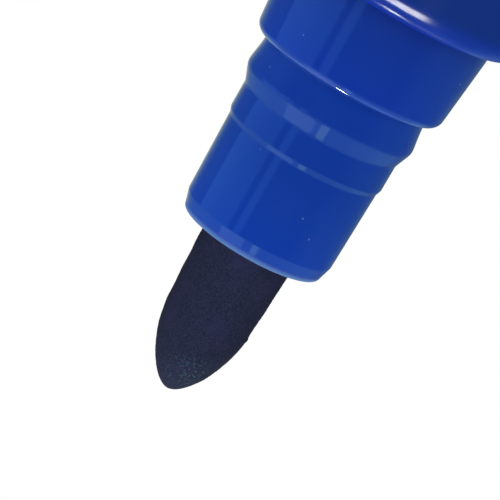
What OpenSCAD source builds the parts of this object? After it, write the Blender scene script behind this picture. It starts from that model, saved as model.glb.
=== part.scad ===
// Whiteboard marker with its cap posted on the tail.
// It stands upright on the cap's closed end. The origin is the centre of that face, +Z runs up the
// axis to the nib, and the cap's clip points along +X. All sizes are in millimetres.

/* [Barrel] */
// Outer diameter of the barrel, tail flange and cap mouth
barrel_d = 15; // [14.6:0.1:20]
// Length of the barrel tube
barrel_l = 90; // [70:1:120]
// Thickness of the barrel tube
barrel_wall = 1.1; // [0.8:0.05:1.35]
// Radius of the rounded front shoulder
lip_round = 1.26; // [0.4:0.02:1.5]
// Thickness of the inward shoulder that holds the nose section
shoulder_t = 2; // [1:0.1:4]
// Height of the ribs along the inside of the barrel
rib_h = 0.5; // [0.3:0.05:0.8]
// Width of the ribs along the inside of the barrel
rib_w = 0.8; // [0.5:0.1:1.4]
// Number of ribs along the inside of the barrel
rib_n = 6; // [3:1:8]

/* [Label] */
// Bare barrel in front of the label
front_band = 18; // [8:0.5:30]
// Bare barrel behind the label
rear_band = 9; // [4:0.5:20]
// Thickness of the label film
label_t = 0.12; // [0.08:0.01:0.25]
// Gap between the two ends of the label where it meets itself
label_seam = 0.6; // [0.3:0.1:2]

/* [Nose section] */
// Diameter of the collar where it leaves the barrel
collar_d = 11.72; // [9.76:0.02:12]
// Length of the collar
collar_l = 4.8; // [3:0.1:8]
// How much the collar's radius shrinks towards the nib
collar_draft = 0.4; // [0.1:0.05:0.5]
// Radius of the collar's front edge
collar_round = 0.58; // [0.2:0.02:0.7]
// How far the sealing ridge lies inside the collar's front edge
ridge_step = 0.56; // [0.4:0.02:0.7]
// Distance from the collar to the sealing ridge
ridge_l = 1.84; // [1:0.02:3]
// How far the neck dips below the ridge
neck_dip = 0.2; // [0.05:0.01:0.3]
// How far the seat of the flare lies below the ridge
flare_step = 0.39; // [0.2:0.01:0.5]
// Length of the flare that leads up to the ridge
flare_l = 1; // [0.5:0.05:2]
// Length of the short land between the flare and the bevel
land_l = 1.5; // [0.8:0.05:3]
// How far the front cylinder lies below the land
bevel = 0.12; // [0.05:0.01:0.2]
// Length of the bevel between the land and the front cylinder
bevel_l = 0.32; // [0.1:0.02:0.6]
// Length of the front cylinder, its rim included
tip_l = 5.55; // [3:0.05:10]
// How much the front cylinder's radius shrinks towards the nib
tip_draft = 0.1; // [0.02:0.01:0.2]
// Length of the tapered front rim
rim_l = 0.8; // [0.5:0.05:1.2]
// How much the front rim narrows before its edge
rim_in = 0.2; // [0.1:0.02:0.3]
// Radius of the front rim's edge
rim_round = 0.1; // [0.06:0.02:0.3]
// Thickness of the flange that seats behind the barrel's shoulder
nose_flange_t = 2; // [1:0.1:4]
// Wall of the sleeve that guides the nib
sleeve_wall = 1.3; // [0.8:0.05:1.4]
// Length of the sleeve behind the flange
sleeve_l = 4; // [2:0.5:8]
// Depth of each air channel beside the nib
channel_h = 0.4; // [0.2:0.05:0.45]
// Width of each air channel beside the nib
channel_w = 0.7; // [0.4:0.05:1.2]
// Number of air channels beside the nib
channel_n = 4; // [2:1:6]

/* [Nib] */
// Diameter of the nib rod
nib_d = 5.26; // [4:0.02:6.8]
// Length of nib that stands out of the nose section
nib_out = 9.2; // [5:0.1:12]
// Length of the ground bullet tip
tip_h = 4.6; // [2:0.1:4.8]
// Roundness of the bullet: 2 is an ellipse and less is more pointed
tip_power = 1.66; // [1.5:0.01:2.2]
// How much the nib's radius shrinks from the nose section to the bullet
nib_draft = 0.23; // [0.05:0.01:0.3]
// Length of nib that reaches into the ink reservoir
nib_embed = 6; // [3:0.5:10]

/* [Ink reservoir] */
// Thickness of the film around the fibre core
film_t = 0.15; // [0.1:0.01:0.3]
// Bare fibre at each end of the film
film_margin = 1.5; // [0.5:0.1:4]
// Gap between the film and the barrel's ribs
film_gap = 0.1; // [0.05:0.05:0.3]

/* [Tail plug] */
// Thickness of the tail flange that the cap's mouth rests against
tail_flange_t = 2; // [1:0.1:4]
// Length of the plug inside the barrel
insert_l = 7; // [4:0.5:12]
// Wall of the hollow plug
plug_wall = 1.3; // [1:0.05:1.6]
// Length of the pilot that enters the cap's liner
pilot_l = 3; // [1.5:0.1:5]
// Radial clearance between the pilot and the liner
pilot_gap = 0.4; // [0.2:0.05:0.8]
// Height of the snap bead around the plug
bead_h = 0.15; // [0.05:0.01:0.25]

/* [Cap] */
// Outer length of the cap
cap_l = 40; // [33:0.5:55]
// Thickness of the closed end
cap_end_t = 1.6; // [1:0.1:3]
// How much the cap's outer radius shrinks towards the closed end
cap_draft = 0.2; // [0:0.05:0.4]
// Radius of the closed end's edge
cap_round = 0.8; // [0.3:0.1:1.2]
// Thickness of the fins that hold the liner
fin_w = 0.8; // [0.5:0.1:1.2]
// Number of fins that hold the liner
fin_n = 6; // [4:1:8]

/* [Clip] */
// Width of the clip
clip_w = 4.6; // [3:0.1:7]
// Thickness of the clip's arm
clip_t = 1.3; // [0.9:0.1:2]
// Gap between the clip's arm and the cap
clip_gap = 1.3; // [0.8:0.1:2.5]
// Gap between the clip's nub and the cap
clip_rest = 0.15; // [0.1:0.05:0.6]
// Height of the clip's root above the closed end
clip_z = 3; // [1.5:0.5:8]
// Length of the clip along the cap
clip_l = 30; // [18:1:36]
// Height of the root that joins the clip to the cap
clip_root = 4; // [3:0.5:8]

/* [Cap liner] */
// Wall of the liner
liner_wall = 0.6; // [0.4:0.05:0.75]
// Thickness of the flange around the liner's mouth
liner_flange_t = 0.9; // [0.6:0.1:1.6]
// Space between the nib's tip and the liner's end when the cap is on
nib_space = 1; // [0.5:0.1:3]

/* [Fits] */
// Radial clearance of a push fit inside the marker
push_fit = 0.03; // [0.02:0.005:0.05]
// Radial clearance between the cap's bore and the collar or the tail stub
cap_fit = 0.09; // [0.05:0.01:0.1]
// Radial clearance between the liner and the sealing ridge
seal_fit = 0.05; // [0.03:0.01:0.1]
// Axial clearance between the collar and the liner's mouth when the cap is on
liner_gap = 0.4; // [0.2:0.05:1]

/* [Hidden] */
$fn = 96;

BLUE = "#14338e";
DEEP_BLUE = "#163178";
FIBRE = "#2b2e45";
STEPS = 8; // straight segments in each quarter round
SKIN = 0.01; // film of air that keeps a glued or sealed pair apart
EMBED = 0.4; // how far an added rib or root runs into its wall
OVER = 1; // how far a cut runs past the face that it opens
NICK = 0.25; // small edge break on a moulded corner
LEAD = 0.4; // lead-in chamfer at a mouth or a plug's end

// Levels along the axis
tail_z = cap_l; // underside of the tail flange, where the cap's mouth rests
barrel_z = tail_z + tail_flange_t;
lip_z = barrel_z + barrel_l;
nose_l = collar_l + ridge_l + flare_l + land_l + bevel_l + tip_l;
nib_z = lip_z + nose_l + nib_out;
flange_z = lip_z - shoulder_t - nose_flange_t;
core_top = flange_z - sleeve_l;
core_bottom = barrel_z + insert_l;
liner_top = cap_l - collar_l - liner_gap;
liner_floor = cap_l - nose_l - nib_out - nib_space;
liner_bottom = liner_floor - liner_wall;

// Radii
barrel_r = barrel_d / 2;
bore_r = barrel_r - barrel_wall;
recess_r = barrel_r - label_t - 2 * SKIN;
collar_r = collar_d / 2;
mouth_r = collar_r + push_fit;
collar_front_r = collar_r - collar_draft;
ridge_r = collar_front_r - ridge_step;
land_r = ridge_r - flare_step;
tip_r = land_r - bevel;
rim_r = tip_r - tip_draft;
edge_r = rim_r - rim_in - rim_round;
nib_r = nib_d / 2;
nib_bore_r = nib_r + push_fit;
sleeve_r = nib_bore_r + sleeve_wall;
core_r = bore_r - rib_h - film_gap - film_t - SKIN;
cap_bore_r = collar_r + cap_fit;
liner_bore_r = ridge_r + seal_fit;
liner_r = liner_bore_r + liner_wall;
pilot_r = liner_bore_r - pilot_gap;
cap_end_r = barrel_r - cap_draft;

// Points on an arc about [x, y], from angle a to angle b
function arc(x, y, r, a, b, n = STEPS) =
    [for (i = [0:n]) let (t = a + (b - a) * i / n) [x + r * cos(t), y + r * sin(t)]];

// Outer radius of the cap at a height
function cap_r(z) = cap_end_r + cap_draft * z / cap_l;

// The collar's outline from its base to its front edge, which the nose section and tail stub share
function collar_outline() = concat(
    [[collar_r, 0]],
    arc(collar_front_r - collar_round, collar_l - collar_round, collar_round, 0, 90)
);

// The neck, from the collar up to the sealing ridge
function neck_outline() =
    [for (i = [0:STEPS]) let (t = 1 - i / STEPS)
        [ridge_r - neck_dip * sin(90 * t), collar_l + ridge_l * (1 - t)]];

// The bullet, from the shaft of the nib to its tip, with the tip at height z
function bullet_outline(r, z) =
    [for (i = [0:2 * STEPS]) let (a = 90 * i / (2 * STEPS))
        [r * pow(cos(a), 2 / tip_power), z - tip_h + tip_h * pow(sin(a), 2 / tip_power)]];

// A body of revolution from an outline of [radius, height] points
module turned(outline) {
    rotate_extrude() polygon(outline);
}

// Repeats its children evenly around the axis
module around(n) {
    for (i = [0:n - 1])
        rotate([0, 0, 360 * i / n]) children();
}

// A bar along +X from radius r0 to r1, of width w, from height z0 to z1
module bar(r0, r1, w, z0, z1) {
    translate([r0, -w / 2, z0]) cube([r1 - r0, w, z1 - z0]);
}

module barrel() {
    bead_z = barrel_z + insert_l / 2;
    groove_r = bore_r + bead_h + push_fit;
    color(BLUE) {
        turned(concat(
            [[mouth_r, lip_z]],
            arc(barrel_r - lip_round, lip_z - lip_round, lip_round, 90, 0),
            [
                [barrel_r, lip_z - front_band],
                [recess_r, lip_z - front_band],
                [recess_r, barrel_z + rear_band],
                [barrel_r, barrel_z + rear_band],
                [barrel_r, barrel_z + NICK],
                [barrel_r - NICK, barrel_z],
                [bore_r + LEAD / 2, barrel_z],
                [bore_r, barrel_z + LEAD],
                [bore_r, bead_z - 2 * bead_h],
                [groove_r, bead_z - bead_h],
                [groove_r, bead_z + bead_h],
                [bore_r, bead_z + 2 * bead_h],
                [bore_r, lip_z - shoulder_t],
                [mouth_r, lip_z - shoulder_t],
            ]
        ));
        around(rib_n)
            bar(bore_r - rib_h, bore_r + EMBED, rib_w, core_bottom + LEAD, lip_z - shoulder_t);
    }
}

module label() {
    color("white") difference() {
        turned([
            [recess_r + SKIN, barrel_z + rear_band + SKIN],
            [recess_r + SKIN + label_t, barrel_z + rear_band + SKIN],
            [recess_r + SKIN + label_t, lip_z - front_band - SKIN],
            [recess_r + SKIN, lip_z - front_band - SKIN],
        ]);
        rotate([0, 0, 180])
            bar(bore_r, barrel_r + OVER, label_seam, barrel_z, lip_z);
    }
}

module nose_section() {
    back_z = flange_z - lip_z;
    rear_z = core_top - lip_z;
    flange_r = bore_r - push_fit;
    notch_r = bore_r - rib_h - push_fit;
    notch_w = rib_w + 2 * push_fit;
    flare_base = collar_l + ridge_l + flare_l;
    land_top = flare_base + land_l;
    color(BLUE) translate([0, 0, lip_z]) difference() {
        turned(concat(
            [
                [nib_bore_r, rear_z],
                [sleeve_r, rear_z],
                [sleeve_r, back_z],
                [flange_r, back_z],
                [flange_r, -shoulder_t],
                [collar_r, -shoulder_t],
            ],
            collar_outline(),
            neck_outline(),
            [
                [land_r, flare_base],
                [land_r, land_top],
                [tip_r, land_top + bevel_l],
                [rim_r, nose_l - rim_l],
            ],
            arc(edge_r, nose_l - rim_round, rim_round, 0, 90),
            [[nib_bore_r, nose_l]]
        ));
        around(rib_n)
            bar(notch_r, barrel_r, notch_w, back_z - OVER, -shoulder_t + SKIN);
        around(channel_n)
            bar(0, nib_bore_r + channel_h, channel_w, rear_z - OVER, nose_l + OVER);
    }
}

module nib() {
    rear_z = core_top - nib_embed;
    shaft_r = nib_r - nib_draft;
    color(FIBRE) turned(concat(
        [[0, rear_z]],
        [[nib_r - LEAD, rear_z]],
        [[nib_r, rear_z + LEAD]],
        [[nib_r, lip_z + nose_l]],
        bullet_outline(shaft_r, nib_z)
    ));
}

module ink_reservoir() {
    socket_z = core_top - nib_embed - push_fit;
    color("ivory") turned([
        [0, core_bottom],
        [core_r - LEAD, core_bottom],
        [core_r, core_bottom + LEAD],
        [core_r, core_top - LEAD],
        [core_r - LEAD, core_top],
        [nib_bore_r, core_top],
        [nib_bore_r, socket_z],
        [0, socket_z],
    ]);
}

module reservoir_film() {
    inner_r = core_r + SKIN;
    color("lightsteelblue") turned([
        [inner_r, core_bottom + film_margin],
        [inner_r + film_t, core_bottom + film_margin],
        [inner_r + film_t, core_top - film_margin],
        [inner_r, core_top - film_margin],
    ]);
}

module tail_plug() {
    insert_r = bore_r - push_fit;
    hollow_r = pilot_r - plug_wall;
    wide_r = insert_r - plug_wall;
    bead_z = tail_flange_t + insert_l / 2;
    pilot_z = -collar_l - pilot_l;
    stub = collar_outline();
    color(DEEP_BLUE) translate([0, 0, tail_z]) turned(concat(
        [[0, pilot_z]],
        [[pilot_r - LEAD, pilot_z]],
        [[pilot_r, pilot_z + LEAD]],
        [[pilot_r, -collar_l]],
        [for (i = [len(stub) - 1:-1:0]) [stub[i].x, -stub[i].y]],
        [
            [barrel_r - NICK, 0],
            [barrel_r, NICK],
            [barrel_r, tail_flange_t - NICK],
            [barrel_r - NICK, tail_flange_t],
            [insert_r, tail_flange_t],
            [insert_r, bead_z - bead_h * 3 / 2],
            [insert_r + bead_h, bead_z - bead_h / 2],
            [insert_r + bead_h, bead_z + bead_h / 2],
            [insert_r, bead_z + bead_h * 3 / 2],
            [insert_r, tail_flange_t + insert_l - LEAD],
            [insert_r - LEAD, tail_flange_t + insert_l],
            [wide_r, tail_flange_t + insert_l],
            [wide_r, tail_flange_t],
            [hollow_r, tail_flange_t - plug_wall],
            [hollow_r, pilot_z + plug_wall],
            [0, pilot_z + plug_wall],
        ]
    ));
}

module cap_shell() {
    turned(concat(
        [[0, 0]],
        arc(cap_end_r - cap_round, cap_round, cap_round, -90, 0),
        [
            [barrel_r, cap_l - NICK],
            [barrel_r - NICK, cap_l],
            [cap_bore_r + LEAD, cap_l],
            [cap_bore_r, cap_l - LEAD],
            [cap_bore_r, cap_end_t],
            [0, cap_end_t],
        ]
    ));
}

// The clip's side outline lies in X and Z: a root, a straight arm and a nub that bears on the cap
module clip() {
    top_z = clip_z + clip_l;
    in_x = cap_r(top_z) + clip_gap;
    out_x = in_x + clip_t;
    wall_x = cap_r(clip_z) - EMBED;
    nub_x = cap_r(top_z) + clip_rest;
    nub_r = (in_x + clip_t / 2 - nub_x) / 2;
    root_r = clip_gap / 2;
    heel_r = clip_root / 2;
    translate([0, clip_w / 2, 0]) rotate([90, 0, 0]) linear_extrude(clip_w) polygon(concat(
        [[wall_x, clip_z]],
        arc(out_x - heel_r, clip_z + heel_r, heel_r, -90, 0),
        arc(out_x - clip_t / 2, top_z - clip_t / 2, clip_t / 2, 0, 90),
        arc(nub_x + nub_r, top_z - nub_r, nub_r, 90, 225),
        [[in_x, top_z - 3 * nub_r]],
        arc(in_x - root_r, clip_z + clip_root + root_r, root_r, 0, -90),
        [[wall_x, clip_z + clip_root]]
    ));
}

module cap() {
    color(BLUE) {
        cap_shell();
        around(fin_n) {
            bar(0, cap_bore_r + EMBED, fin_w, cap_end_t - EMBED, liner_bottom);
            bar(liner_r + push_fit, cap_bore_r + EMBED, fin_w, cap_end_t, liner_top - liner_flange_t);
        }
        clip();
    }
}

module cap_liner() {
    color("whitesmoke") turned([
        [0, liner_bottom],
        [liner_r - LEAD, liner_bottom],
        [liner_r, liner_bottom + LEAD],
        [liner_r, liner_top - liner_flange_t],
        [cap_bore_r - push_fit, liner_top - liner_flange_t],
        [cap_bore_r - push_fit, liner_top],
        [liner_bore_r + LEAD, liner_top],
        [liner_bore_r, liner_top - LEAD],
        [liner_bore_r, liner_floor],
        [0, liner_floor],
    ]);
}

barrel();
label();
nose_section();
nib();
ink_reservoir();
reservoir_film();
tail_plug();
cap();
cap_liner();
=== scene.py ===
"""Looks of a bullet-tip whiteboard marker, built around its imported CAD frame.

The marker stands on its posted cap with the nib up. Lengths in the classes are millimetres, as on a
drawing, and Blender's are metres: MM turns one into the other.
"""

import logging
import math
from collections.abc import Callable, Sequence
from dataclasses import dataclass
from enum import Enum

import bmesh
import bpy
from mathutils import Euler, Matrix, Vector, noise


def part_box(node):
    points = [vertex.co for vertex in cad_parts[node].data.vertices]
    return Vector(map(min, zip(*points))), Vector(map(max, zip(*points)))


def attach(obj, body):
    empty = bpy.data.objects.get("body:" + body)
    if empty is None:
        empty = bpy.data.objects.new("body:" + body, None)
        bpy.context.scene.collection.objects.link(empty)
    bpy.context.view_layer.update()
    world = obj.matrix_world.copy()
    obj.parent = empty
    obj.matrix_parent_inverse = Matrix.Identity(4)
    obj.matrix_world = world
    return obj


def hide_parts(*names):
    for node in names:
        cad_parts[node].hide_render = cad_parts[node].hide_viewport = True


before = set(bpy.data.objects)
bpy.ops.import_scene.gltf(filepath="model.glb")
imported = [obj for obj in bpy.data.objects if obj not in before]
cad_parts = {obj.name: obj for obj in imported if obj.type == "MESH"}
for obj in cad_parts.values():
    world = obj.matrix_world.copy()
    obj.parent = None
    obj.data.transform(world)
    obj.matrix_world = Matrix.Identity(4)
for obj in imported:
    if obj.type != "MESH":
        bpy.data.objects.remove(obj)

log = logging.getLogger("marker")

MM = 0.001

Point = tuple[float, float]
Corner = tuple[float, float, float]
Colour = tuple[float, float, float, float]


# ---------------------------------------------------------------- colour and nodes


def linear(code: str, alpha: float = 1.0) -> Colour:
    """Turn an sRGB hex colour into Blender's linear values.

    Args:
        code: The colour as six hex digits after a hash.
        alpha: The fourth value of the result.

    Returns:
        Red, green, blue and alpha.
    """
    parts = [int(code[i : i + 2], 16) / 255 for i in (1, 3, 5)]
    low_end = 0.04045
    values = [p / 12.92 if p <= low_end else ((p + 0.055) / 1.055) ** 2.4 for p in parts]
    return (values[0], values[1], values[2], alpha)


def add(
    tree: bpy.types.NodeTree, kind: str, settings: dict | None = None, **links: object
) -> bpy.types.Node:
    """Add a node to a tree with its settings, socket values and incoming links.

    Args:
        tree: The node tree that takes the node.
        kind: The node's Blender type name.
        settings: Properties of the node, and values of its sockets by name or number.
        **links: Sockets to feed, by name with underscores for spaces, or by number as in1.

    Returns:
        The new node.
    """
    node = tree.nodes.new(kind)
    for key, value in (settings or {}).items():
        if isinstance(key, int) or key in node.inputs:
            node.inputs[key].default_value = value
        else:
            setattr(node, key, value)
    for key, source in links.items():
        socket = int(key[2:]) if key[:2] == "in" and key[2:].isdigit() else key.replace("_", " ")
        tree.links.new(source, node.inputs[socket])
    return node


def paint_ramp(node: bpy.types.Node, stops: Sequence[tuple[float, Colour]]) -> None:
    """Set the stops of a colour ramp node, from the lowest place to the highest."""
    elements = node.color_ramp.elements
    while len(elements) > len(stops):
        elements.remove(elements[-1])
    while len(elements) < len(stops):
        elements.new(1.0)
    for element, (place, colour) in zip(elements, stops):
        element.position = place
        element.color = colour


def new_material(name: str) -> tuple[bpy.types.Material, bpy.types.NodeTree]:
    """Return an empty node material and its tree."""
    material = bpy.data.materials.new(name)
    material.use_nodes = True
    material.node_tree.nodes.clear()
    return material, material.node_tree


def close_material(tree: bpy.types.NodeTree, shader: bpy.types.NodeSocket) -> None:
    """Link a shader to a new material output."""
    add(tree, "ShaderNodeOutputMaterial", Surface=shader)


# ---------------------------------------------------------------- finishes


@dataclass(frozen=True)
class GlossyPolypropylene:
    """Injection-moulded polypropylene, coloured through and ejected from a polished mould.

    The skin is glossy with a faint orange peel. The resin lets a little light in, and the colour stops
    paint that light: painted light where it is thick or edge-lit, painted shade where it is thin over the
    ink core.
    """

    name: str
    tones_and_painted_light: tuple[tuple[float, str], ...]
    specular: float = 0.5
    roughness: float = 0.09
    dull_above: float = 1000.0
    dull_over: float = 0.25
    peel_mm: float = 0.9
    peel_depth_mm: float = 0.002
    streak_mm: float = 4.0
    streak_tint: str = "#d8dcee"
    patch_mm: float = 2.5
    speck_mm: float = 0.9
    speck_share: float = 0.035
    speck_tint: str = "#8fa6dc"

    def make(self) -> bpy.types.Material:
        """Build the material and return it."""
        material, tree = new_material(self.name)
        place = add(tree, "ShaderNodeTexCoord").outputs["Object"]
        height = add(tree, "ShaderNodeSeparateXYZ", Vector=place).outputs["Z"]
        # Painted light and shade along the moulding: the colour stops change with the thickness of its
        # wall, lighter where the resin is thick or edge-lit, darker where it is thin
        low, high = self.tones_and_painted_light[0][0], self.tones_and_painted_light[-1][0]
        along = add(
            tree, "ShaderNodeMapRange", {1: low * MM, 2: high * MM}, Value=height
        ).outputs["Result"]
        glow = add(tree, "ShaderNodeValToRGB", Fac=along)
        paint_ramp(glow, [((z - low) / (high - low), linear(code)) for z, code in self.tones_and_painted_light])
        # Pigment streaks as the melt flowed, a few millimetres long
        cloud = add(
            tree, "ShaderNodeTexNoise", {"Scale": 1 / (self.streak_mm * MM), "Detail": 2.0}, Vector=place
        ).outputs["Fac"]
        streak = add(
            tree, "ShaderNodeMapRange", {1: 0.3, 2: 0.7, 3: 0.0, 4: 0.16}, Value=cloud
        ).outputs["Result"]
        tinted = add(
            tree,
            "ShaderNodeMix",
            {"data_type": "RGBA", "blend_type": "MULTIPLY", 7: linear(self.streak_tint)},
            Factor=streak,
            in6=glow.outputs["Color"],
        ).outputs[2]
        # Dust and tiny chips that catch the light
        cells = add(tree, "ShaderNodeTexVoronoi", {"Scale": 1 / (self.speck_mm * MM)}, Vector=place)
        dot = add(
            tree, "ShaderNodeMapRange", {1: 0.02, 2: 0.07, 3: 1.0, 4: 0.0}, Value=cells.outputs["Distance"]
        ).outputs["Result"]
        luck = add(tree, "ShaderNodeSeparateColor", Color=cells.outputs["Color"]).outputs["Red"]
        rare = add(
            tree, "ShaderNodeMath", {"operation": "LESS_THAN", 1: self.speck_share}, in0=luck
        ).outputs[0]
        speck = add(tree, "ShaderNodeMath", {"operation": "MULTIPLY"}, in0=dot, in1=rare).outputs[0]
        faint = add(tree, "ShaderNodeMath", {"operation": "MULTIPLY", 1: 0.45}, in0=speck).outputs[0]
        colour = add(
            tree,
            "ShaderNodeMix",
            {"data_type": "RGBA", 7: linear(self.speck_tint)},
            Factor=faint,
            in6=tinted,
        ).outputs[2]
        # Handling dulls the gloss in soft patches
        patch = add(
            tree, "ShaderNodeTexNoise", {"Scale": 1 / (self.patch_mm * MM), "Detail": 4.0}, Vector=place
        ).outputs["Fac"]
        rough = add(
            tree,
            "ShaderNodeMapRange",
            {1: 0.35, 2: 0.7, 3: self.roughness * 0.8, 4: self.roughness * 1.35},
            Value=patch,
        ).outputs["Result"]
        # A rubbed edge is duller than the skin around it
        rubbed = add(
            tree,
            "ShaderNodeMapRange",
            {1: self.dull_above * MM, 2: (self.dull_above + self.dull_over) * MM, 3: 0.0, 4: 0.9},
            Value=height,
        ).outputs["Result"]
        rough = add(tree, "ShaderNodeMath", {"operation": "MAXIMUM"}, in0=rough, in1=rubbed).outputs[0]
        peel = add(
            tree, "ShaderNodeTexNoise", {"Scale": 1 / (self.peel_mm * MM), "Detail": 3.0}, Vector=place
        ).outputs["Fac"]
        relief = add(tree, "ShaderNodeMath", {"operation": "MULTIPLY_ADD", 1: 0.6}, in0=speck, in2=peel)
        bump = add(
            tree,
            "ShaderNodeBump",
            {"Strength": 1.0, "Distance": self.peel_depth_mm * MM},
            Height=relief.outputs[0],
        ).outputs["Normal"]
        shader = add(
            tree,
            "ShaderNodeBsdfPrincipled",
            {"IOR": 1.49, "Specular IOR Level": self.specular},
            Base_Color=colour,
            Roughness=rough,
            Normal=bump,
        )
        close_material(tree, shader.outputs[0])
        return material


@dataclass(frozen=True)
class InkedFibre:
    """Polyester fibre bonded into a rod, ground to a bullet and soaked in blue ink.

    The ground fibre ends scatter light, so the rod looks matt and nearly black, with faint violet
    clouds, fine grain and a few paler fibres at the worn tip. Real fibres are about 0.02 mm thick,
    too fine to show, so the grain is drawn several times coarser.
    """

    name: str = "inked fibre nib"
    body: str = "#1b1e30"
    shade: str = "#111423"
    cloud: str = "#1d1d36"
    worn: str = "#2f5a60"
    grain_mm: float = 0.09
    grain_depth_mm: float = 0.02
    cloud_mm: float = 2.2
    loose_mm: float = 0.12
    worn_at: tuple[float, float, float] = (-0.45, -1.3, 154.5)
    worn_radius: float = 1.5

    def make(self) -> bpy.types.Material:
        """Build the material and return it."""
        material, tree = new_material(self.name)
        place = add(tree, "ShaderNodeTexCoord").outputs["Object"]
        grain = add(
            tree, "ShaderNodeTexNoise", {"Scale": 1 / (self.grain_mm * MM), "Detail": 3.0}, Vector=place
        ).outputs["Fac"]
        sharp = add(
            tree, "ShaderNodeMapRange", {1: 0.35, 2: 0.65, 3: 0.0, 4: 1.0}, Value=grain
        ).outputs["Result"]
        base = add(
            tree,
            "ShaderNodeMix",
            {"data_type": "RGBA", 6: linear(self.shade), 7: linear(self.body)},
            Factor=sharp,
        ).outputs[2]
        clouds = add(
            tree, "ShaderNodeTexNoise", {"Scale": 1 / (self.cloud_mm * MM), "Detail": 2.0}, Vector=place
        ).outputs["Fac"]
        violet = add(
            tree, "ShaderNodeMapRange", {1: 0.48, 2: 0.72, 3: 0.0, 4: 0.6}, Value=clouds
        ).outputs["Result"]
        tinted = add(
            tree,
            "ShaderNodeMix",
            {"data_type": "RGBA", 7: linear(self.cloud)},
            Factor=violet,
            in6=base,
        ).outputs[2]
        # Paler loose fibres on the side that has been rubbed on the board
        off = add(
            tree,
            "ShaderNodeVectorMath",
            {"operation": "DISTANCE", 1: tuple(c * MM for c in self.worn_at)},
            in0=place,
        ).outputs["Value"]
        near_tip = add(
            tree,
            "ShaderNodeMapRange",
            {2: self.worn_radius * MM, 3: 1.0, 4: 0.0},
            Value=off,
        ).outputs["Result"]
        dots = add(
            tree, "ShaderNodeTexNoise", {"Scale": 1 / (self.loose_mm * MM), "Detail": 4.0}, Vector=place
        ).outputs["Fac"]
        loose = add(
            tree, "ShaderNodeMapRange", {1: 0.55, 2: 0.72, 3: 0.0, 4: 1.0}, Value=dots
        ).outputs["Result"]
        worn = add(tree, "ShaderNodeMath", {"operation": "MULTIPLY"}, in0=near_tip, in1=loose).outputs[0]
        colour = add(
            tree,
            "ShaderNodeMix",
            {"data_type": "RGBA", 7: linear(self.worn)},
            Factor=worn,
            in6=tinted,
        ).outputs[2]
        bump = add(
            tree, "ShaderNodeBump", {"Strength": 0.7, "Distance": self.grain_depth_mm * MM}, Height=grain
        ).outputs["Normal"]
        shader = add(
            tree,
            "ShaderNodeBsdfPrincipled",
            {"IOR": 1.45, "Roughness": 0.95, "Specular IOR Level": 0.06},
            Base_Color=colour,
            Normal=bump,
        )
        close_material(tree, shader.outputs[0])
        return material


@dataclass(frozen=True)
class PrintedFilm:
    """Satin polyester label film, printed in flat ink with plain bands and no lettering."""

    name: str = "printed label film"
    ground: str = "#e9ecf1"
    ink: str = "#1a3f9c"
    low: float = 51.0
    high: float = 114.0
    band: float = 9.0
    line: float = 0.8
    mottle_mm: float = 0.4
    mottle_depth_mm: float = 0.002

    def make(self) -> bpy.types.Material:
        """Build the material and return it."""
        material, tree = new_material(self.name)
        place = add(tree, "ShaderNodeTexCoord").outputs["Object"]
        height = add(tree, "ShaderNodeSeparateXYZ", Vector=place).outputs["Z"]
        along = add(
            tree, "ShaderNodeMapRange", {1: self.low * MM, 2: self.high * MM}, Value=height
        ).outputs["Result"]
        length = self.high - self.low
        stripes = add(tree, "ShaderNodeValToRGB", Fac=along)
        stripes.color_ramp.interpolation = "CONSTANT"
        edges = [0, self.line, 2 * self.line, 3 * self.line, length - self.band, length - self.line]
        inks = [self.ground, self.ink, self.ground, self.ground, self.ink, self.ground]
        paint_ramp(stripes, [(e / length, linear(i)) for e, i in zip(edges, inks)])
        mottle = add(
            tree, "ShaderNodeTexNoise", {"Scale": 1 / (self.mottle_mm * MM), "Detail": 2.0}, Vector=place
        ).outputs["Fac"]
        rough = add(
            tree, "ShaderNodeMapRange", {1: 0.3, 2: 0.7, 3: 0.32, 4: 0.45}, Value=mottle
        ).outputs["Result"]
        bump = add(
            tree,
            "ShaderNodeBump",
            {"Strength": 0.4, "Distance": self.mottle_depth_mm * MM},
            Height=mottle,
        ).outputs["Normal"]
        shader = add(
            tree,
            "ShaderNodeBsdfPrincipled",
            {"IOR": 1.5},
            Base_Color=stripes.outputs["Color"],
            Roughness=rough,
            Normal=bump,
        )
        close_material(tree, shader.outputs[0])
        return material


@dataclass(frozen=True)
class FibreCore:
    """Polyester sliver packed along the barrel and soaked in ink: streaky, matt and blue.

    Its fibres are about 0.02 mm thick, too fine to show, so they are drawn as coarser strands.
    """

    name: str = "ink core fibre"
    body: str = "#27409a"
    pale: str = "#6f83c4"
    strand_mm: float = 0.2
    strand_length_mm: float = 5.0
    strand_depth_mm: float = 0.05

    def make(self) -> bpy.types.Material:
        """Build the material and return it."""
        material, tree = new_material(self.name)
        place = add(tree, "ShaderNodeTexCoord").outputs["Object"]
        # Fibres run along the barrel, so the grain is stretched along Z
        across, along = 1 / (self.strand_mm * MM), 1 / (self.strand_length_mm * MM)
        drawn = add(
            tree, "ShaderNodeMapping", {"Scale": (across, across, along)}, Vector=place
        ).outputs["Vector"]
        grain = add(tree, "ShaderNodeTexNoise", {"Scale": 1.0, "Detail": 3.0}, Vector=drawn).outputs["Fac"]
        colour = add(
            tree,
            "ShaderNodeMix",
            {"data_type": "RGBA", 6: linear(self.body), 7: linear(self.pale)},
            Factor=grain,
        ).outputs[2]
        bump = add(
            tree, "ShaderNodeBump", {"Strength": 0.8, "Distance": self.strand_depth_mm * MM}, Height=grain
        ).outputs["Normal"]
        shader = add(tree, "ShaderNodeBsdfPrincipled", {"Roughness": 0.9}, Base_Color=colour, Normal=bump)
        close_material(tree, shader.outputs[0])
        return material


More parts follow.
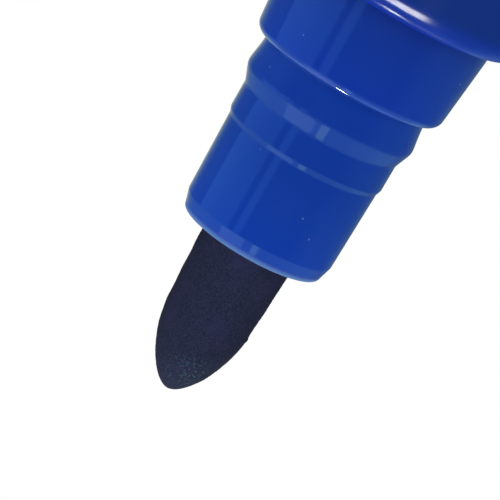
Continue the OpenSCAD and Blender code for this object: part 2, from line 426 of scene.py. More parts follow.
@dataclass(frozen=True)
class NaturalResin:
    """Uncoloured polypropylene or clear film: milky, with a soft gloss and faint flow marks."""

    name: str
    body: str = "#dfe3e8"
    roughness: float = 0.35
    transmission: float = 0.0
    flow_mm: float = 1.5
    flow_depth_mm: float = 0.003
    flow_tint: str = "#b9c2cf"

    def make(self) -> bpy.types.Material:
        """Build the material and return it."""
        material, tree = new_material(self.name)
        place = add(tree, "ShaderNodeTexCoord").outputs["Object"]
        flow = add(
            tree, "ShaderNodeTexNoise", {"Scale": 1 / (self.flow_mm * MM), "Detail": 3.0}, Vector=place
        ).outputs["Fac"]
        shade = add(
            tree, "ShaderNodeMapRange", {1: 0.3, 2: 0.7, 3: 0.0, 4: 0.2}, Value=flow
        ).outputs["Result"]
        colour = add(
            tree,
            "ShaderNodeMix",
            {"data_type": "RGBA", 6: linear(self.body), 7: linear(self.flow_tint)},
            Factor=shade,
        ).outputs[2]
        rough = add(
            tree,
            "ShaderNodeMapRange",
            {1: 0.3, 2: 0.7, 3: self.roughness * 0.8, 4: self.roughness * 1.2},
            Value=flow,
        ).outputs["Result"]
        bump = add(
            tree, "ShaderNodeBump", {"Strength": 0.5, "Distance": self.flow_depth_mm * MM}, Height=flow
        ).outputs["Normal"]
        shader = add(
            tree,
            "ShaderNodeBsdfPrincipled",
            {"IOR": 1.49, "Transmission Weight": self.transmission},
            Base_Color=colour,
            Roughness=rough,
            Normal=bump,
        )
        close_material(tree, shader.outputs[0])
        return material


Finish = GlossyPolypropylene | InkedFibre | PrintedFilm | NaturalResin


# ---------------------------------------------------------------- shapes


def soften(corners: Sequence[Corner], closed: bool, steps: int = 6, hold: float = 0.04) -> list[Point]:
    """Round the corners of an outline and hold its straight runs with close points.

    Args:
        corners: Radius, height and rounding of each corner, in millimetres.
        closed: Whether the outline's last corner joins its first.
        steps: Straight segments in each rounding.
        hold: Distance from a rounding to the point that keeps the run beside it straight.

    Returns:
        The points of the softened outline.
    """
    count = len(corners)
    spots = [Vector(corner[:2]) for corner in corners]
    reaches = [0.0] * count
    for i, (_, _, rounding) in enumerate(corners):
        if rounding > 0 and (closed or 0 < i < count - 1):
            before = spots[i - 1] - spots[i]
            after = spots[(i + 1) % count] - spots[i]
            reaches[i] = rounding / math.tan(before.angle(after) / 2)
    # Two roundings that meet on a short run shrink until they share it
    usable = 0.96
    shares = [1.0] * count
    for i in range(count if closed else count - 1):
        j = (i + 1) % count
        room = usable * (spots[j] - spots[i]).length
        wanted = reaches[i] + reaches[j]
        if wanted > room:
            shares[i] = min(shares[i], room / wanted)
            shares[j] = min(shares[j], room / wanted)
    points: list[Point] = []
    for i, at in enumerate(spots):
        reach = reaches[i] * shares[i]
        if reach <= 0:
            points.append(tuple(at))
            continue
        before = spots[i - 1] - at
        after = spots[(i + 1) % count] - at
        a, b = before.normalized(), after.normalized()
        start, end = at + a * reach, at + b * reach
        centre = at + (a + b).normalized() * (reach / math.cos(a.angle(b) / 2))
        if reach + hold < before.length * 0.5:
            points.append(tuple(at + a * (reach + hold)))
        spoke_a, spoke_b = start - centre, end - centre
        turn = spoke_a.angle(spoke_b)
        for k in range(steps + 1):
            t = k / steps
            spoke = (spoke_a * math.sin((1 - t) * turn) + spoke_b * math.sin(t * turn)) / math.sin(turn)
            points.append(tuple(centre + spoke))
        if reach + hold < after.length * 0.5:
            points.append(tuple(at + b * (reach + hold)))
    return points


def revolve(
    name: str,
    outline: Sequence[Point],
    closed: bool,
    segments: int = 192,
    swell: Callable[[float, float, float], float] | None = None,
    gap: float = 0.0,
) -> bpy.types.Object:
    """Turn an outline about Z into a smooth closed mesh.

    Args:
        name: Name of the new object.
        outline: Radius and height of each point, in millimetres.
        closed: Whether the outline is a loop. If not, its two ends lie on the axis.
        segments: Steps around the axis.
        swell: Extra radius in millimetres for a radius, a height and an angle.
        gap: Angle in radians that is left open on the -X side, for a sheet that wraps round.

    Returns:
        The new object.
    """
    mesh = bmesh.new()
    rings: list[list[bmesh.types.BMVert]] = []
    turns = segments + (1 if gap else 0)
    for r, z in outline:
        if r < 1e-6:
            rings.append([mesh.verts.new((0, 0, z * MM))])
            continue
        ring = []
        for j in range(turns):
            angle = -math.pi + gap / 2 + (math.tau - gap) * j / segments
            reach = (r + (swell(r, z, angle) if swell else 0.0)) * MM
            ring.append(mesh.verts.new((reach * math.cos(angle), reach * math.sin(angle), z * MM)))
        rings.append(ring)
    pairs = list(zip(rings, rings[1:])) + ([(rings[-1], rings[0])] if closed else [])
    for low, high in pairs:
        for j in range(segments):
            k = (j + 1) % turns
            corners = [low[j % len(low)], low[k % len(low)], high[k % len(high)], high[j % len(high)]]
            unique = list(dict.fromkeys(corners))
            if len(unique) > 2:
                mesh.faces.new(unique)
    if gap:
        for j in (0, turns - 1):
            mesh.faces.new([ring[j] for ring in rings])
    return finish_mesh(name, mesh)


def finish_mesh(name: str, mesh: bmesh.types.BMesh, smooth: bool = True) -> bpy.types.Object:
    """Make an object from a bmesh, with outward faces and smooth shading."""
    bmesh.ops.recalc_face_normals(mesh, faces=mesh.faces)
    data = bpy.data.meshes.new(name)
    mesh.to_mesh(data)
    mesh.free()
    for polygon in data.polygons:
        polygon.use_smooth = smooth
    piece = bpy.data.objects.new(name, data)
    bpy.context.scene.collection.objects.link(piece)
    return piece


def arc(x: float, y: float, r: float, start: float, end: float, steps: int = 10) -> list[Point]:
    """Return points on an arc about x, y from a start to an end angle in degrees."""
    angles = [math.radians(start + (end - start) * i / steps) for i in range(steps + 1)]
    return [(x + r * math.cos(t), y + r * math.sin(t)) for t in angles]


def slab(
    name: str, outline: Sequence[Point], width: float, edge: float, steps: int = 3
) -> bpy.types.Object:
    """Extrude an outline in X and Z across Y and round its long edges.

    Args:
        name: Name of the new object.
        outline: X and Z of each point, in millimetres.
        width: Width across Y, in millimetres.
        edge: Rounding of the edges between side and outline, in millimetres.
        steps: Segments in the rounding.

    Returns:
        The new object.
    """
    mesh = bmesh.new()
    corners = [mesh.verts.new((x * MM, -width / 2 * MM, z * MM)) for x, z in outline]
    face = mesh.faces.new(corners)
    extruded = bmesh.ops.extrude_face_region(mesh, geom=[face])
    moved = [v for v in extruded["geom"] if isinstance(v, bmesh.types.BMVert)]
    bmesh.ops.translate(mesh, verts=moved, vec=(0, width * MM, 0))
    bmesh.ops.recalc_face_normals(mesh, faces=mesh.faces)
    rims = [e for e in mesh.edges if abs(e.verts[0].co.y - e.verts[1].co.y) < 1e-9]
    bmesh.ops.bevel(mesh, geom=rims, offset=edge * MM, segments=steps, profile=0.5, affect="EDGES")
    return finish_mesh(name, mesh)


# ---------------------------------------------------------------- the marker's pieces


def top_of(node: str) -> float:
    """Return the top of a CAD node in millimetres."""
    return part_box(node)[1][2] / MM


class Part:
    """A piece of the marker that stands for one or more CAD nodes and rides on one body."""

    node: str
    body: str
    slot_name: str
    finish: Finish

    def place(
        self, piece: bpy.types.Object, material: bpy.types.Material, *nodes: str, slot_name: str = ""
    ) -> None:
        """Give a piece its finish in a material slot, set it on its body, and hide the CAD nodes that it
        stands for.

        Args:
            piece: The mesh object.
            material: Its finish.
            *nodes: The CAD nodes that it stands for, if any.
            slot_name: Its material slot, where that isn't the part's own; not used.
        """
        piece.data.materials.append(material)
        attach(piece, self.body)
        if nodes:
            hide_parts(*nodes)

    def dress(self, piece: bpy.types.Object) -> None:
        """Finish a part that is one mesh and set it on its body."""
        self.place(piece, self.finish.make(), self.node)

    def top(self) -> float:
        """Return the top of the part's CAD node in millimetres."""
        return top_of(self.node)

    def bottom(self) -> float:
        """Return the bottom of the part's CAD node in millimetres."""
        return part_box(self.node)[0][2] / MM

    def radius(self) -> float:
        """Return the outer radius of the part's CAD node in millimetres."""
        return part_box(self.node)[1][1] / MM


@dataclass
class Barrel(Part):
    """The glossy tube with its rounded front shoulder and the recess for the label."""

    finish: GlossyPolypropylene
    node: str = "barrel"
    body: str = "marker"
    slot_name: str = "barrel_plastic"
    wall: float = 1.1
    mouth: float = 5.89
    lip: float = 1.26
    shoulder: float = 2.0
    front_band: float = 18.0
    rear_band: float = 9.0
    recess: float = 0.14
    recess_edge: float = 0.05
    mouth_edge: float = 0.06
    rear_edge: float = 0.25
    bore_edge: float = 0.15
    shoulder_edge: float = 0.1

    def build(self) -> bpy.types.Object:
        """Build the tube's mesh and return it."""
        r, top, low = self.radius(), self.top(), self.bottom()
        bore = r - self.wall
        corners = [
            (self.mouth, top, self.mouth_edge),
            (r, top, self.lip),
            (r, top - self.front_band, self.recess_edge),
            (r - self.recess, top - self.front_band, self.recess_edge),
            (r - self.recess, low + self.rear_band, self.recess_edge),
            (r, low + self.rear_band, self.recess_edge),
            (r, low, self.rear_edge),
            (bore, low, self.bore_edge),
            (bore, top - self.shoulder, self.shoulder_edge),
            (self.mouth, top - self.shoulder, self.mouth_edge),
        ]
        outline = soften(corners, closed=True, steps=12)
        return revolve("barrel_tube", outline, closed=True, segments=256)


@dataclass
class Label(Part):
    """The printed film that lies in the barrel's recess and meets itself at the back."""

    finish: PrintedFilm
    node: str = "label"
    body: str = "marker"
    slot_name: str = "label_film"
    thickness: float = 0.12
    edge: float = 0.03
    seam: float = 0.6

    def build(self) -> bpy.types.Object:
        """Build the film's mesh and return it."""
        r, top, low = self.radius(), self.top(), self.bottom()
        corners = [
            (r - self.thickness, low, self.edge),
            (r, low, self.edge),
            (r, top, self.edge),
            (r - self.thickness, top, self.edge),
        ]
        return revolve("label_wrap", soften(corners, closed=True, steps=2), closed=True, gap=self.seam / r)


@dataclass
class NoseSection(Part):
    """The stepped nose that carries the nib: collar, neck, sealing ridge, flare and front cylinder."""

    finish: GlossyPolypropylene
    node: str = "nose_section"
    body: str = "marker"
    slot_name: str = "nose_plastic"
    bore: float = 2.66
    sleeve: float = 3.96
    flange: float = 6.37
    flange_low: float = -4.0
    shoulder: float = -2.0
    collar_base: float = 5.86
    collar_front: float = 5.46
    collar_length: float = 4.8
    collar_edge: float = 0.58
    collar_turn: float = 60.0
    neck: float = 4.7
    ridge: float = 4.9
    ridge_height: float = 6.64
    neck_bulge: float = 1.3
    flare_edge: float = 0.75
    land: float = 4.51
    flare_height: float = 7.64
    step_height: float = 9.14
    step_length: float = 0.32
    step_edge: float = 0.4
    front: float = 4.39
    rim: float = 4.29
    rim_length: float = 0.95
    rim_in: float = 0.27
    rim_blend: float = 0.35
    rim_edge: float = 0.18
    bore_edge: float = 0.05
    sleeve_edge: float = 0.15
    sleeve_root: float = 0.1
    flange_edge: float = 0.15
    flange_front_edge: float = 0.08
    seat_edge: float = 0.05
    collar_foot: float = 0.02
    neck_root: float = 0.14
    channel_depth: float = 0.4
    channel_width: float = 0.7
    channels: int = 4

    def channel(self, r: float, z: float, angle: float) -> float:
        """Return the extra radius of the bore where an air channel runs along it."""
        bore_skin = 0.2
        if r > self.bore + bore_skin:
            return 0.0
        pitch = math.tau / self.channels
        off = abs((angle + pitch / 2) % pitch - pitch / 2) * self.bore
        return self.channel_depth if off < self.channel_width / 2 else 0.0

    def build(self) -> bpy.types.Object:
        """Build the nose's mesh and return it."""
        front_z, rear_z = self.top(), self.bottom()
        lip_z = top_of("barrel")
        # The collar's edge is a round that stops short of the face above it
        turn = self.collar_turn
        edge_r = self.collar_front - self.collar_edge
        edge_z = lip_z + self.collar_length - self.collar_edge * math.sin(math.radians(turn))
        edge = [(r, z, 0.0) for r, z in arc(edge_r, edge_z, self.collar_edge, 2, turn, 14)]
        neck = []
        steps = 8
        for i in range(1, steps):
            t = 1 - i / steps
            r = self.ridge - (self.ridge - self.neck) * math.sin(math.pi / 2 * t) ** self.neck_bulge
            z = lip_z + self.collar_length + (self.ridge_height - self.collar_length) * (1 - t)
            neck.append((r, z, 0.0))
        corners = [
            (self.bore, rear_z, self.bore_edge),
            (self.sleeve, rear_z, self.sleeve_edge),
            (self.sleeve, lip_z + self.flange_low, self.sleeve_root),
            (self.flange, lip_z + self.flange_low, self.flange_edge),
            (self.flange, lip_z + self.shoulder, self.flange_front_edge),
            (self.collar_base, lip_z + self.shoulder, self.seat_edge),
            (self.collar_base, lip_z, self.collar_foot),
            *edge,
            (self.neck, lip_z + self.collar_length, self.neck_root),
            *neck,
            (self.ridge, lip_z + self.ridge_height, self.flare_edge),
            (self.land, lip_z + self.flare_height, self.flare_edge),
            (self.land, lip_z + self.step_height, self.step_edge),
            (self.front, lip_z + self.step_height + self.step_length, self.step_edge),
            (self.rim, front_z - self.rim_length, self.rim_blend),
            (self.rim - self.rim_in, front_z, self.rim_edge),
            (self.bore, front_z, self.bore_edge),
        ]
        outline = soften(corners, closed=True, steps=8)
        return revolve("nose_moulding", outline, closed=True, segments=240, swell=self.channel)


@dataclass
class Nib(Part):
    """The fibre rod, ground to a blunt bullet with a slight edge where the grinding starts."""

    finish: InkedFibre
    node: str = "nib"
    body: str = "marker"
    slot_name: str = "nib_fibre"
    chamfer: float = 0.4
    shaft: float = 2.4
    bullet: float = 4.6
    power: float = 1.66
    out: float = 9.2
    fuzz: float = 0.016
    fuzz_scale: float = 0.14
    wave: float = 0.03
    wave_scale: float = 1.1
    tufts: tuple[tuple[float, float], ...] = ((149.6, -16.0), (151.75, -176.0))
    tuft_rise: float = 0.05
    tuft_reach: float = 0.13

    def build(self) -> bpy.types.Object:
        """Build the rod's mesh, with the relief of its ground fibre, and return it."""
        top, low, rod = self.top(), self.bottom(), self.radius()
        bare = top - self.out
        points: list[Point] = [
            (0.0, low),
            (rod - self.chamfer, low),
            (rod, low + self.chamfer),
            (rod, bare - 1),
        ]
        shaft_steps = 60
        for i in range(shaft_steps + 1):
            t = i / shaft_steps
            points.append((rod + (self.shaft - rod) * t, bare + (self.out - self.bullet) * t))
        tip_steps = 90
        for i in range(1, tip_steps + 1):
            a = math.pi / 2 * i / tip_steps
            r = self.shaft * max(math.cos(a), 0.0) ** (2 / self.power)
            z = top - self.bullet + self.bullet * math.sin(a) ** (2 / self.power)
            points.append((0.0 if i == tip_steps else r, z))

        def relief(r: float, z: float, angle: float) -> float:
            """Return the unevenness of the ground fibre at a place on the rod."""
            if z < bare - 0.5:
                return 0.0
            at = Vector((r * math.cos(angle), r * math.sin(angle), z))
            wave = self.wave * noise.noise(at / self.wave_scale)
            fuzz = self.fuzz * noise.noise(at / self.fuzz_scale)
            tuft = 0.0
            for height, turn in self.tufts:
                along = abs(z - height)
                if along < 3 * self.tuft_reach:
                    around = (angle - math.radians(turn) + math.pi) % math.tau - math.pi
                    off = math.hypot(along, around * r) / self.tuft_reach
                    tuft += self.tuft_rise * math.exp(-off * off)
            return min(wave + fuzz + tuft, rod - r)

        return revolve("nib_rod", points, closed=False, segments=320, swell=relief)


@dataclass
class Reservoir(Part):
    """The ink core, with a socket in its top for the nib, and the film wrapped around it."""

    core_finish: FibreCore
    film_finish: NaturalResin
    node: str = "ink_reservoir"
    body: str = "marker"
    slot_name: str = "core_fibre"
    film_node: str = "reservoir_film"
    film_slot: str = "wrap_film"
    socket: float = 2.66
    socket_depth: float = 6.03
    chamfer: float = 0.4
    socket_edge: float = 0.1
    film: float = 0.15
    film_edge: float = 0.02

    def build(self) -> tuple[bpy.types.Object, bpy.types.Object]:
        """Build the core's and the film's meshes and return them."""
        r, top, low = self.radius(), self.top(), self.bottom()
        floor = top - self.socket_depth
        core_corners = [
            (0.0, low, 0.0),
            (r, low, self.chamfer),
            (r, top, self.chamfer),
            (self.socket, top, self.socket_edge),
            (self.socket, floor, self.socket_edge),
            (0.0, floor, 0.0),
        ]
        core = revolve("fibre_core", soften(core_corners, closed=False), closed=False, segments=128)
        wrap_low, wrap_high = (corner[2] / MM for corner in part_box(self.film_node))
        wrap_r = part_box(self.film_node)[1][1] / MM
        inner = wrap_r - self.film
        film_corners = [
            (inner, wrap_low, self.film_edge),
            (wrap_r, wrap_low, self.film_edge),
            (wrap_r, wrap_high, self.film_edge),
            (inner, wrap_high, self.film_edge),
        ]
        outline = soften(film_corners, closed=True, steps=2)
        return core, revolve("core_film", outline, closed=True, segments=128)

    def dress(self, pieces: tuple[bpy.types.Object, bpy.types.Object]) -> None:
        """Finish the core and its film and set them on their body."""
        core, film = pieces
        self.place(core, self.core_finish.make(), self.node)
        self.place(film, self.film_finish.make(), self.film_node, slot_name=self.film_slot)


@dataclass
class TailPlug(Part):
    """The plug that closes the barrel: flange, snap bead and the stub that the cap posts on."""

    finish: GlossyPolypropylene
    node: str = "tail_plug"
    body: str = "marker"
    slot_name: str = "plug_plastic"
    flange: float = 2.0
    insert: float = 6.37
    insert_length: float = 7.0
    bead: float = 0.15
    collar_base: float = 5.86
    collar_front: float = 5.46
    collar_length: float = 4.8
    collar_edge: float = 0.58
    pilot: float = 4.55
    wall: float = 1.3
    end_edge: float = 0.4
    pilot_root: float = 0.1
    seat_edge: float = 0.05
    flange_edge: float = 0.25
    bead_edge: float = 0.08
    bead_slope: float = 1.5
    mouth_edge: float = 0.1
    hollow_edge: float = 0.3

    def build(self) -> bpy.types.Object:
        """Build the plug's mesh and return it."""
        r, low, high = self.radius(), self.bottom(), self.top()
        seat = top_of("cap")
        flange_z = seat + self.flange
        bead_z = flange_z + self.insert_length / 2
        wide = self.insert - self.wall
        hollow = self.pilot - self.wall
        corners = [
            (0.0, low, 0.0),
            (self.pilot, low, self.end_edge),
            (self.pilot, seat - self.collar_length, self.pilot_root),
            (self.collar_front, seat - self.collar_length, self.collar_edge),
            (self.collar_base, seat, self.seat_edge),
            (r, seat, self.flange_edge),
            (r, flange_z, self.flange_edge),
            (self.insert, flange_z, self.seat_edge),
            (self.insert, bead_z - self.bead_slope * self.bead, self.seat_edge),
            (self.insert + self.bead, bead_z, self.bead_edge),
            (self.insert, bead_z + self.bead_slope * self.bead, self.seat_edge),
            (self.insert, high, self.end_edge),
            (wide, high, self.mouth_edge),
            (wide, flange_z, self.hollow_edge),
            (hollow, flange_z - self.wall, self.hollow_edge),
            (hollow, low + self.wall, self.hollow_edge),
            (0.0, low + self.wall, 0.0),
        ]
        return revolve("tail_moulding", soften(corners, closed=False), closed=False, segments=224)


@dataclass
class Cap(Part):
    """The cap: a drafted shell, fins that hold its liner, and a moulded clip."""

    finish: GlossyPolypropylene
    node: str = "cap"
    body: str = "cap"
    slot_name: str = "cap_plastic"
    mouth: float = 7.5
    end: float = 7.3
    end_edge: float = 0.8
    mouth_edge: float = 0.3
    lead_in: float = 0.4
    bore: float = 5.95
    floor: float = 1.6
    floor_edge: float = 0.3
    fin_width: float = 0.8
    fin_inside: float = 0.3
    bite: float = 0.2
    fins: int = 6
    clip_width: float = 4.6
    clip_thickness: float = 1.3
    clip_gap: float = 1.3
    clip_rest: float = 0.15
    clip_low: float = 3.0
    clip_length: float = 30.0
    clip_root: float = 4.0
    clip_edge: float = 0.3
    clip_sunk: float = 0.4

    def outside(self, z: float) -> float:
        """Return the shell's outer radius at a height."""
        return self.end + (self.mouth - self.end) * z / self.top()

    def build_shell(self) -> bpy.types.Object:
        """Build the shell and its fins as one moulding and return it."""
        top = self.top()
        corners = [
            (0.0, 0.0, 0.0),
            (self.end, 0.0, self.end_edge),
            (self.mouth, top, self.mouth_edge),
            (self.bore, top, self.lead_in),
            (self.bore, self.floor, self.floor_edge),
            (0.0, self.floor, 0.0),
        ]
        outline = soften(corners, closed=False, steps=10)
        shell = revolve("cap_shell", outline, closed=False, segments=256)
        liner_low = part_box("cap_liner")[0][2] / MM
        # Each fin runs into the shell by the bite, so that the two are one moulding
        mesh = bmesh.new()
        mesh.from_mesh(shell.data)
        half = self.fin_width / 2
        for i in range(self.fins):
            spin = Matrix.Rotation(math.tau * i / self.fins, 4, "Z")
            fin = bmesh.ops.create_cube(mesh, size=1.0)["verts"]
            for vert in fin:
                x = self.fin_inside if vert.co.x < 0 else self.bore + self.bite
                y = half if vert.co.y > 0 else -half
                z = liner_low if vert.co.z > 0 else self.floor - self.bite
                vert.co = spin @ Vector((x * MM, y * MM, z * MM))
        mesh.to_mesh(shell.data)
        mesh.free()
        faces_of_a_box = 6
        for polygon in shell.data.polygons[-faces_of_a_box * self.fins :]:
            polygon.use_smooth = False
        return shell

    def build_clip(self) -> bpy.types.Object:
        """Build the clip and return it."""
        top_z = self.clip_low + self.clip_length
        inside = self.outside(top_z) + self.clip_gap
        outside = inside + self.clip_thickness
        wall = self.outside(self.clip_low) - self.clip_sunk
        nub = self.outside(top_z) + self.clip_rest
        nub_r = (inside + self.clip_thickness / 2 - nub) / 2
        root_r = self.clip_gap / 2
        heel = self.clip_root / 2
        half = self.clip_thickness / 2
        root_top = self.clip_low + self.clip_root
        outline = [
            (wall, self.clip_low),
            *arc(outside - heel, self.clip_low + heel, heel, -90, 0),
            *arc(outside - half, top_z - half, half, 0, 90),
            *arc(nub + nub_r, top_z - nub_r, nub_r, 90, 225),
            (inside, top_z - 3 * nub_r),
            *arc(inside - root_r, root_top + root_r, root_r, 0, -90),
            (wall, root_top),
        ]
        return slab("cap_clip", outline, self.clip_width, edge=self.clip_edge)

    def build(self) -> tuple[bpy.types.Object, bpy.types.Object]:
        """Build the shell and the clip and return them."""
        return self.build_shell(), self.build_clip()

    def dress(self, pieces: tuple[bpy.types.Object, bpy.types.Object]) -> None:
        """Finish the shell and clip and set them on their body."""
        shell, clip = pieces
        material = self.finish.make()
        self.place(shell, material, self.node)
        self.place(clip, material)


@dataclass
class CapLiner(Part):
    """The inner cap that closes over the nib and seals on the nose section's ridge."""

    finish: NaturalResin
    node: str = "cap_liner"
    body: str = "cap"
    slot_name: str = "liner_plastic"
    wall: float = 0.6
    flange: float = 0.9
    bore: float = 4.95
    end_edge: float = 0.4
    flange_edge: float = 0.1
    rim_edge: float = 0.15
    inner_edge: float = 0.3

    def build(self) -> bpy.types.Object:
        """Build the liner's mesh and return it."""
        r, low, high = self.radius(), self.bottom(), self.top()
        tube = self.bore + self.wall
        corners = [
            (0.0, low, 0.0),
            (tube, low, self.end_edge),
            (tube, high - self.flange, self.flange_edge),
            (r, high - self.flange, self.flange_edge),
            (r, high, self.rim_edge),
            (self.bore, high, self.inner_edge),
            (self.bore, low + self.wall, self.inner_edge),
            (0.0, low + self.wall, 0.0),
        ]
        return revolve("inner_cap", soften(corners, closed=False), closed=False, segments=160)


# ---------------------------------------------------------------- studio


class Reach(Enum):
    """What a lamp does: show in glossy surfaces, or shed soft light without showing."""

    REFLECTION = "reflection"
    SOFT_LIGHT = "soft light"


@dataclass(frozen=True)
class Panel:
    """A rectangular light in the round, which spans two azimuths and two elevations.

    Azimuth 0 is towards the camera and turns towards +X. Luminance is in scene units, in which the
    white room is 1.
    """

    name: str
    azimuths: tuple[float, float]
    elevations: tuple[float, float]
    luminance: float
    tint: str = "#ffffff"
    reach: Reach = Reach.REFLECTION
    only_on: str = ""
    distance: float = 0.9

    def hang(self, centre: Vector) -> bpy.types.Object:
        """Hang the panel around a centre and return it."""
        az = math.radians(sum(self.azimuths) / 2)
        el = math.radians(sum(self.elevations) / 2)
        out = Vector((math.cos(el) * math.sin(az), -math.cos(el) * math.cos(az), math.sin(el)))
        half_turn = math.radians(self.azimuths[1] - self.azimuths[0]) / 2
        half_rise = math.radians(self.elevations[1] - self.elevations[0]) / 2
        lamp = bpy.data.lights.new(self.name, "AREA")
        lamp.shape = "RECTANGLE"
        lamp.size = 2 * self.distance * math.tan(half_turn) * math.cos(el)
        lamp.size_y = 2 * self.distance * math.tan(half_rise)
        lamp.energy = 4 * lamp.size * lamp.size_y * self.luminance
        lamp.color = linear(self.tint)[:3]
        panel = bpy.data.objects.new(self.name, lamp)
        panel.location = centre + out * self.distance
        panel.rotation_euler = out.to_track_quat("Z", "Y").to_euler()
        panel.visible_diffuse = self.reach is Reach.SOFT_LIGHT
        panel.visible_glossy = self.reach is Reach.REFLECTION
        bpy.context.scene.collection.objects.link(panel)
        if self.only_on:
            lit = bpy.data.collections.new(self.name + " lights")
            lit.objects.link(bpy.data.objects[self.only_on])
            panel.light_linking.receiver_collection = lit
        return panel


@dataclass
class Studio:
    """The pale floor, the soft room, the lights and the camera."""

    lens_mm: float = 252.0
    camera_below_tip: float = 51.505
    camera_distance: float = 178.857
    camera_side: float = -0.1493
    camera_pitch: float = 13.441
    camera_roll: float = -149.857
    panels: tuple[Panel, ...] = (
        Panel("window_narrow", (20, 31), (9, 30), 0.75, "#5fa7ff"),
        Panel("window_wide", (40, 100), (10, 30), 0.75, "#5fa7ff"),
        Panel("skylight_narrow", (-18, -4), (42, 66), 1.0, "#c5ffeb", only_on="nose_moulding"),
        Panel("skylight_wide", (8, 61), (42, 66), 0.8, "#a5cfff", only_on="nose_moulding"),
        Panel("top_lamp", (-174, -152), (60, 89), 60.0, "#f4fff0"),
        Panel("lip_lamp", (-36, 4), (29, 55), 110.0, "#f6f8ec", only_on="barrel_tube"),
        Panel("nib_key", (-35, 35), (-8, 32), 4.0, "#ffffff", Reach.SOFT_LIGHT, "nib_rod"),
    )
    floor_size: float = 3.0
    floor_mottle: float = 0.05
    near_clip: float = 0.01
    sensor_mm: float = 36.0
    soft_far: float = 1.07
    soft_near: float = 1.24
    # Places up and across the room, each with its linear radiance
    ceiling_glow: tuple[tuple[float, Colour], ...] = (
        (0.38, (0.0, 0.0, 0.0, 1.0)),
        (0.57, (0.2, 0.45, 0.55, 1.0)),
        (0.79, (0.24, 0.52, 0.85, 1.0)),
        (0.88, (0.48, 1.0, 1.8, 1.0)),
    )
    wall_glow: tuple[tuple[float, Colour], ...] = (
        (0.12, (0.065, 0.16, 0.2, 1.0)),
        (0.3, (0.13, 0.22, 0.25, 1.0)),
        (0.42, (0.09, 0.18, 0.2, 1.0)),
        (0.6, (0.57, 0.63, 0.5, 1.0)),
        (0.72, (0.28, 0.43, 0.36, 1.0)),
        (0.86, (0.07, 0.16, 0.25, 1.0)),
    )

    def build_floor(self) -> None:
        """Lay the pale floor that the marker stands on."""
        mesh = bmesh.new()
        bmesh.ops.create_grid(mesh, x_segments=1, y_segments=1, size=self.floor_size / 2)
        floor = finish_mesh("studio_floor", mesh, smooth=False)
        material, tree = new_material("pale floor paint")
        place = add(tree, "ShaderNodeTexCoord").outputs["Object"]
        mottle = add(
            tree, "ShaderNodeTexNoise", {"Scale": 1 / self.floor_mottle, "Detail": 3.0}, Vector=place
        ).outputs["Fac"]
        colour = add(
            tree,
            "ShaderNodeMix",
            {"data_type": "RGBA", 6: linear("#ececec"), 7: linear("#f2f2f2")},
            Factor=mottle,
        ).outputs[2]
        shader = add(tree, "ShaderNodeBsdfPrincipled", {"Roughness": 0.8}, Base_Color=colour)
        close_material(tree, shader.outputs[0])
        floor.data.materials.append(material)
        floor.visible_glossy = False
        floor.visible_diffuse = False

    def light_room(self) -> None:
        """Set the room around the marker: white to the eye, dim and bluish in reflections."""
        world = bpy.data.worlds.new("soft room")
        bpy.context.scene.world = world
        world.use_nodes = True
        tree = world.node_tree
        tree.nodes.clear()
        place = add(tree, "ShaderNodeTexCoord").outputs["Generated"]
        axes = add(tree, "ShaderNodeSeparateXYZ", Vector=place)
        # Soft light that the marker is lit by, a little stronger from the window side
        side = add(
            tree,
            "ShaderNodeMapRange",
            {1: -1.0, 2: 1.0, 3: self.soft_far, 4: self.soft_near},
            Value=axes.outputs["X"],
        ).outputs["Result"]
        soft = add(tree, "ShaderNodeCombineColor", Red=side, Green=side, Blue=side).outputs["Color"]
        # The room that shows in the gloss is dark in front, and has a pale bluish ceiling
        ceiling = add(tree, "ShaderNodeValToRGB", Fac=axes.outputs["Z"])
        paint_ramp(ceiling, self.ceiling_glow)
        across = add(
            tree, "ShaderNodeMapRange", {1: -1.0, 2: 1.0}, Value=axes.outputs["X"]
        ).outputs["Result"]
        wall = add(tree, "ShaderNodeValToRGB", Fac=across)
        paint_ramp(wall, self.wall_glow)
        behind = add(
            tree, "ShaderNodeMapRange", {1: -0.6, 2: -0.15}, Value=axes.outputs["Y"]
        ).outputs["Result"]
        room = add(
            tree,
            "ShaderNodeMix",
            {"data_type": "RGBA", "blend_type": "ADD"},
            Factor=behind,
            in6=ceiling.outputs["Color"],
            in7=wall.outputs["Color"],
        ).outputs[2]
        paths = add(tree, "ShaderNodeLightPath")
        reflected = add(
            tree,
            "ShaderNodeMix",
            {"data_type": "RGBA"},
            Factor=paths.outputs["Is Glossy Ray"],
            in6=soft,
            in7=room,
        ).outputs[2]
        shown = add(
            tree,
            "ShaderNodeMix",
            {"data_type": "RGBA", 7: linear("#ffffff")},
            Factor=paths.outputs["Is Camera Ray"],
            in6=reflected,
        ).outputs[2]
        glow = add(tree, "ShaderNodeBackground", {"Strength": 1.0}, Color=shown)
        add(tree, "ShaderNodeOutputWorld", Surface=glow.outputs[0])

    def hang_lights(self) -> None:
        """Hang every panel around the middle of the nose section."""
        low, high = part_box("nose_section")
        centre = Vector((0, 0, (low[2] + high[2]) / 2))
        for panel in self.panels:
            panel.hang(centre)

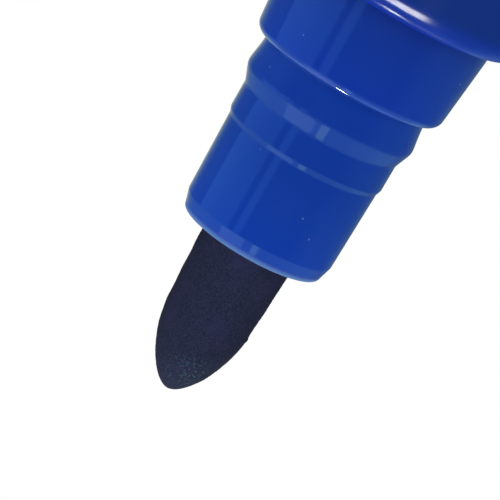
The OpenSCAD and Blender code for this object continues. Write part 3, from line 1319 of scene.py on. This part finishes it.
    def set_camera(self) -> None:
        """Place the long lens that looks up along the nose from below the nib's tip."""
        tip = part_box("nib")[1][2]
        lens = bpy.data.cameras.new("camera")
        lens.lens = self.lens_mm
        lens.sensor_width = self.sensor_mm
        lens.clip_start = self.near_clip
        camera = bpy.data.objects.new("camera", lens)
        camera.location = (
            self.camera_side * MM,
            -self.camera_distance * MM,
            tip - self.camera_below_tip * MM,
        )
        pitch = Euler((math.radians(90 + self.camera_pitch), 0, 0)).to_matrix()
        camera.rotation_euler = (
            pitch @ Matrix.Rotation(math.radians(self.camera_roll), 3, "Z")
        ).to_euler()
        bpy.context.scene.collection.objects.link(camera)
        bpy.context.scene.camera = camera

    def build(self) -> None:
        """Build the floor, the room, the lights and the camera."""
        self.build_floor()
        self.light_room()
        self.hang_lights()
        self.set_camera()
        bpy.context.scene.view_settings.view_transform = "Standard"


def main() -> None:
    logging.basicConfig(level=logging.INFO, format="%(name)s: %(message)s")
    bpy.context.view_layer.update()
    lip_z = top_of("barrel")
    nose_plastic = GlossyPolypropylene(
        "nose polypropylene",
        (
            # Painted shade on the collar, darkest beside the barrel's lip where shade falls; the rest
            # grows a little lighter towards the front
            (lip_z, "#123086"),
            (lip_z + 1, "#12338d"),
            (lip_z + 3, "#0f3393"),
            (lip_z + 4.75, "#0f329a"),
            (lip_z + 5, "#11399a"),
            (lip_z + 6, "#0f3594"),
            (lip_z + 9.5, "#0e3592"),
            (lip_z + 12, "#0f3898"),
            (lip_z + 14.7, "#0f389f"),
            # Painted highlight: the pale band round the front rim
            (lip_z + 14.85, "#3f6cac"),
            (lip_z + 14.95, "#4a76ae"),
            (lip_z + 15, "#1f4aa2"),
        ),
        dull_above=lip_z + 14.6,
        speck_share=0.3,
    )
    barrel_plastic = GlossyPolypropylene(
        "barrel polypropylene",
        (
            # Painted light in the thick front lip and painted shade down the thin wall behind it
            (lip_z - 1.5, "#102d75"),
            (lip_z - 1.0, "#0e2e84"),
            (lip_z, "#0f30a0"),
        ),
        specular=0.06,
        roughness=0.18,
    )
    # The cap's colour stops are lighter towards both ends of the shell and darker along its middle
    cap_plastic = GlossyPolypropylene(
        "cap polypropylene", ((0.0, "#153899"), (2.0, "#153384"), (35.0, "#153384"), (40.0, "#153690"))
    )

    parts = (
        Barrel(barrel_plastic),
        Label(PrintedFilm()),
        NoseSection(nose_plastic),
        Nib(InkedFibre()),
        Reservoir(FibreCore(), NaturalResin("clear core film", "#d5dcea", 0.2, 0.5)),
        TailPlug(cap_plastic),
        Cap(cap_plastic),
        CapLiner(NaturalResin("natural liner resin")),
    )
    for part in parts:
        part.dress(part.build())
        log.info("%s built", part.node)
    Studio().build()
    log.info("studio built")


if __name__ == "__main__":
    main()
